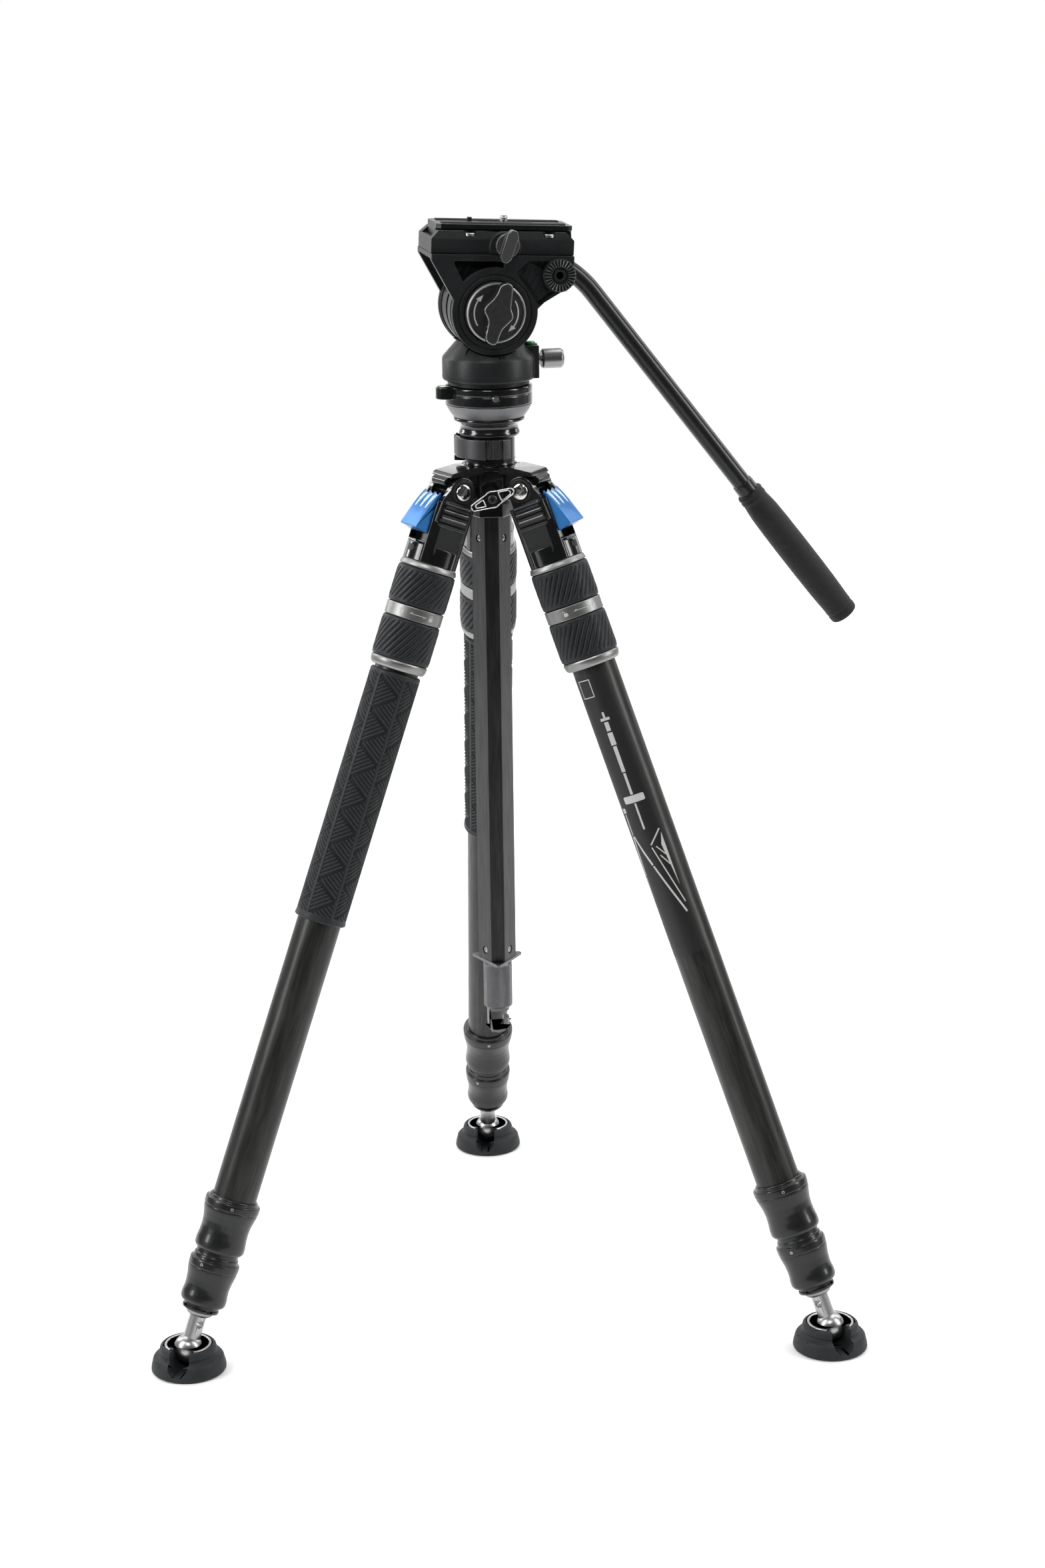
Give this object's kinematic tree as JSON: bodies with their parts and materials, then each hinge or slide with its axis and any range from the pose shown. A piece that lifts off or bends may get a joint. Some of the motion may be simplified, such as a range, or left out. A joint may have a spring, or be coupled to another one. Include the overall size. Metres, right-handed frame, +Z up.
{
  "type": "tripod with fluid head",
  "caption": "Three-leg camera tripod with twist-lock tube legs, lifting column, levelling half-ball base, fluid drag head and pan handle.",
  "frame": {"origin": "on the floor, under the middle of the whole outer box", "axes": "+Z up; +X to the handle side; +Y away from the side with the tilt knob"},
  "size_m": [0.6039, 0.5158, 0.9087],
  "materials": {
    "black_casting": "gloss black",
    "blue_anodised": "satin anodised blue",
    "carbon_tube": "woven fibre under satin lacquer",
    "silver_ring": "satin",
    "lock_rubber": "moulded ribs",
    "foot_rubber": "matt",
    "sleeve_foam": "embossed",
    "bare_steel": "turned",
    "bright_bolt": "polished",
    "head_black": "fine grain matt black",
    "grey_anodised": "dark grey anodised",
    "mid_grey": "grey anodised",
    "level_fluid": "clear green",
    "pad_rubber": "ribbed",
    "grip_rubber": "fine texture",
    "handle_black": "satin black"
  },
  "bodies": {
    "spider": {"spider": "black_casting", "hinge_bolts": "bright_bolt"},
    "leg_left": {"leg_casting_left": "black_casting", "upper_section_left": "carbon_tube", "trim_rings_left": "silver_ring", "grip_sleeve_left": "sleeve_foam"},
    "tab_left": {"angle_tab_left": "blue_anodised"},
    "upper_lock_left": {"upper_lock_left": "lock_rubber"},
    "lower_lock_left": {"lower_lock_left": "lock_rubber"},
    "middle_left": {"middle_section_left": "carbon_tube"},
    "lower_left": {"lower_section_left": "carbon_tube", "foot_stem_left": "bare_steel"},
    "foot_left": {"foot_pad_left": "foot_rubber"},
    "leg_right": {"leg_casting_right": "black_casting", "upper_section_right": "carbon_tube", "trim_rings_right": "silver_ring"},
    "tab_right": {"angle_tab_right": "blue_anodised"},
    "upper_lock_right": {"upper_lock_right": "lock_rubber"},
    "lower_lock_right": {"lower_lock_right": "lock_rubber"},
    "middle_right": {"middle_section_right": "carbon_tube"},
    "lower_right": {"lower_section_right": "carbon_tube", "foot_stem_right": "bare_steel"},
    "foot_right": {"foot_pad_right": "foot_rubber"},
    "leg_rear": {"leg_casting_rear": "black_casting", "upper_section_rear": "carbon_tube", "trim_rings_rear": "silver_ring", "grip_sleeve_rear": "sleeve_foam"},
    "tab_rear": {"angle_tab_rear": "blue_anodised"},
    "upper_lock_rear": {"upper_lock_rear": "lock_rubber"},
    "lower_lock_rear": {"lower_lock_rear": "lock_rubber"},
    "middle_rear": {"middle_section_rear": "carbon_tube"},
    "lower_rear": {"lower_section_rear": "carbon_tube", "foot_stem_rear": "bare_steel"},
    "foot_rear": {"foot_pad_rear": "foot_rubber"},
    "wing_knob": {"wing_knob": "black_casting"},
    "column": {"column_tube": "carbon_tube", "column_plate": "grey_anodised", "end_hook": "mid_grey", "column_neck": "black_casting", "bowl_collar": "black_casting"},
    "end_knob": {"end_knob": "mid_grey"},
    "flip_lever": {"flip_lever": "mid_grey"},
    "level": {"half_ball": "mid_grey", "levelling_base": "black_casting", "base_bubble": "level_fluid"},
    "pan": {"pan_base": "head_black", "tilt_core": "head_black", "pan_bubble": "level_fluid"},
    "pan_knob": {"pan_knob": "silver_ring"},
    "tilt_knob": {"tilt_knob": "grey_anodised"},
    "platform": {"cradle": "head_black", "clamp_body": "head_black"},
    "jaw": {"clamp_jaw": "grey_anodised"},
    "plate_lock": {"plate_lock_knob": "grey_anodised"},
    "plate": {"quick_plate": "handle_black", "plate_pads": "pad_rubber"},
    "camera_screw": {"camera_screw": "bare_steel"},
    "handle": {"handle_tube": "handle_black", "handle_grip": "grip_rubber"},
    "handle_bolt": {"handle_bolt": "grey_anodised"}
  },
  "joints": [
    {"name": "leg_left_splay", "type": "hinge", "parent": "spider", "child": "leg_left", "pos_m": [-0.03983, -0.09381, 0.6948], "axis": [-0.5, 0.866, 0], "range_deg": [-20.5, 45]},
    {"name": "angle_tab_left_pull", "type": "slide", "parent": "leg_left", "child": "tab_left", "axis": [-0.318, -0.1836, -0.9302], "range_m": [0, 0.006], "stiffness_N_per_m": 800, "springref_m": -0.002},
    {"name": "upper_lock_left_twist", "type": "hinge", "parent": "leg_left", "child": "upper_lock_left", "pos_m": [-0.03983, -0.09381, 0.6948], "axis": [0.318, 0.1836, 0.9302], "range_deg": [0, 90]},
    {"name": "lower_lock_left_twist", "type": "hinge", "parent": "leg_left", "child": "lower_lock_left", "pos_m": [-0.03983, -0.09381, 0.6948], "axis": [0.318, 0.1836, 0.9302], "range_deg": [0, 90]},
    {"name": "middle_left_extend", "type": "slide", "parent": "leg_left", "child": "middle_left", "axis": [-0.318, -0.1836, -0.9302], "range_m": [0, 0.38]},
    {"name": "lower_left_extend", "type": "slide", "parent": "middle_left", "child": "lower_left", "axis": [-0.318, -0.1836, -0.9302], "range_m": [0, 0.38]},
    {"name": "foot_left_swivel", "type": "hinge", "parent": "lower_left", "child": "foot_left", "pos_m": [-0.27122, -0.2274, 0.0179], "axis": [-0.5, 0.866, 0], "range_deg": [-20.5, 63.5]},
    {"name": "leg_right_splay", "type": "hinge", "parent": "spider", "child": "leg_right", "pos_m": [0.02255, -0.09381, 0.6948], "axis": [-0.5, -0.866, 0], "range_deg": [-20.5, 45]},
    {"name": "angle_tab_right_pull", "type": "slide", "parent": "leg_right", "child": "tab_right", "axis": [0.318, -0.1836, -0.9302], "range_m": [0, 0.006], "stiffness_N_per_m": 800, "springref_m": -0.002},
    {"name": "upper_lock_right_twist", "type": "hinge", "parent": "leg_right", "child": "upper_lock_right", "pos_m": [0.02255, -0.09381, 0.6948], "axis": [-0.318, 0.1836, 0.9302], "range_deg": [0, 90]},
    {"name": "lower_lock_right_twist", "type": "hinge", "parent": "leg_right", "child": "lower_lock_right", "pos_m": [0.02255, -0.09381, 0.6948], "axis": [-0.318, 0.1836, 0.9302], "range_deg": [0, 90]},
    {"name": "middle_right_extend", "type": "slide", "parent": "leg_right", "child": "middle_right", "axis": [0.318, -0.1836, -0.9302], "range_m": [0, 0.38]},
    {"name": "lower_right_extend", "type": "slide", "parent": "middle_right", "child": "lower_right", "axis": [0.318, -0.1836, -0.9302], "range_m": [0, 0.38]},
    {"name": "foot_right_swivel", "type": "hinge", "parent": "lower_right", "child": "foot_right", "pos_m": [0.25394, -0.2274, 0.0179], "axis": [-0.5, -0.866, 0], "range_deg": [-20.5, 63.5]},
    {"name": "leg_rear_splay", "type": "hinge", "parent": "spider", "child": "leg_rear", "pos_m": [-0.00864, -0.03978, 0.6948], "axis": [1, 0, 0], "range_deg": [-20.5, 45]},
    {"name": "angle_tab_rear_pull", "type": "slide", "parent": "leg_rear", "child": "tab_rear", "axis": [0, 0.3672, -0.9302], "range_m": [0, 0.006], "stiffness_N_per_m": 800, "springref_m": -0.002},
    {"name": "upper_lock_rear_twist", "type": "hinge", "parent": "leg_rear", "child": "upper_lock_rear", "pos_m": [-0.00864, -0.03978, 0.6948], "axis": [0, -0.3672, 0.9302], "range_deg": [0, 90]},
    {"name": "lower_lock_rear_twist", "type": "hinge", "parent": "leg_rear", "child": "lower_lock_rear", "pos_m": [-0.00864, -0.03978, 0.6948], "axis": [0, -0.3672, 0.9302], "range_deg": [0, 90]},
    {"name": "middle_rear_extend", "type": "slide", "parent": "leg_rear", "child": "middle_rear", "axis": [0, 0.3672, -0.9302], "range_m": [0, 0.38]},
    {"name": "lower_rear_extend", "type": "slide", "parent": "middle_rear", "child": "lower_rear", "axis": [0, 0.3672, -0.9302], "range_m": [0, 0.38]},
    {"name": "foot_rear_swivel", "type": "hinge", "parent": "lower_rear", "child": "foot_rear", "pos_m": [-0.00864, 0.2274, 0.0179], "axis": [1, 0, 0], "range_deg": [-20.5, 63.5]},
    {"name": "column_lock_turn", "type": "hinge", "parent": "spider", "child": "wing_knob", "pos_m": [-0.00864, -0.0758, 0.6904], "axis": [0, -1, 0], "range_deg": [-180, 180]},
    {"name": "column_lift", "type": "slide", "parent": "spider", "child": "column", "axis": [0, 0, 1], "range_m": [0, 0.3]},
    {"name": "end_knob_turn", "type": "hinge", "parent": "column", "child": "end_knob", "pos_m": [-0.00864, -0.0758, 0.27], "axis": [0, 0, 1], "continuous": true},
    {"name": "flip_lever_swing", "type": "hinge", "parent": "column", "child": "flip_lever", "pos_m": [-0.03279, -0.06933, 0.727], "axis": [0, 0, 1], "range_deg": [-95, 0]},
    {"name": "head_level", "type": "hinge", "parent": "column", "child": "level", "pos_m": [-0.00864, -0.0758, 0.7756], "axis": [-0.1564, 0.9877, 0], "range_deg": [-8, 8]},
    {"name": "head_pan", "type": "hinge", "parent": "level", "child": "pan", "pos_m": [-0.00864, -0.0758, 0.8], "axis": [0, 0, 1], "continuous": true},
    {"name": "pan_lock_turn", "type": "hinge", "parent": "pan", "child": "pan_knob", "pos_m": [0.03581, -0.06876, 0.7943], "axis": [0.9877, 0.1564, 0], "continuous": true},
    {"name": "tilt_drag_turn", "type": "hinge", "parent": "pan", "child": "tilt_knob", "pos_m": [-0.00395, -0.10543, 0.8368], "axis": [0.1564, -0.9877, 0], "range_deg": [-150, 150]},
    {"name": "head_tilt", "type": "hinge", "parent": "pan", "child": "platform", "pos_m": [-0.00864, -0.0758, 0.8368], "axis": [-0.1564, 0.9877, 0], "range_deg": [-75, 45]},
    {"name": "plate_lock_turn", "type": "hinge", "parent": "platform", "child": "plate_lock", "pos_m": [0.00696, -0.10775, 0.88833], "axis": [0.1564, -0.9877, 0], "range_deg": [0, 90]},
    {"name": "jaw_release", "type": "slide", "parent": "platform", "child": "jaw", "axis": [0.1564, -0.9877, 0], "range_m": [0, 0.0012]},
    {"name": "plate_slide", "type": "slide", "parent": "platform", "child": "plate", "axis": [0.9863, 0.1562, -0.0523], "range_m": [-0.02, 0.02]},
    {"name": "camera_screw_turn", "type": "hinge", "parent": "plate", "child": "camera_screw", "pos_m": [0.00513, -0.07362, 0.90216], "axis": [0.0517, 0.0082, 0.9986], "continuous": true},
    {"name": "handle_swing", "type": "hinge", "parent": "platform", "child": "handle", "pos_m": [0.03628, -0.02717, 0.86362], "axis": [-0.1564, 0.9877, 0], "range_deg": [-90, 30]},
    {"name": "handle_bolt_turn", "type": "hinge", "parent": "platform", "child": "handle_bolt", "pos_m": [0.03409, -0.01335, 0.86362], "axis": [-0.1564, 0.9877, 0], "range_deg": [-180, 180]}
  ],
  "couplings": [
    {"joint": "plate_lock_turn", "follows": "jaw_release", "rad_per_m": 1307.7}
  ]
}
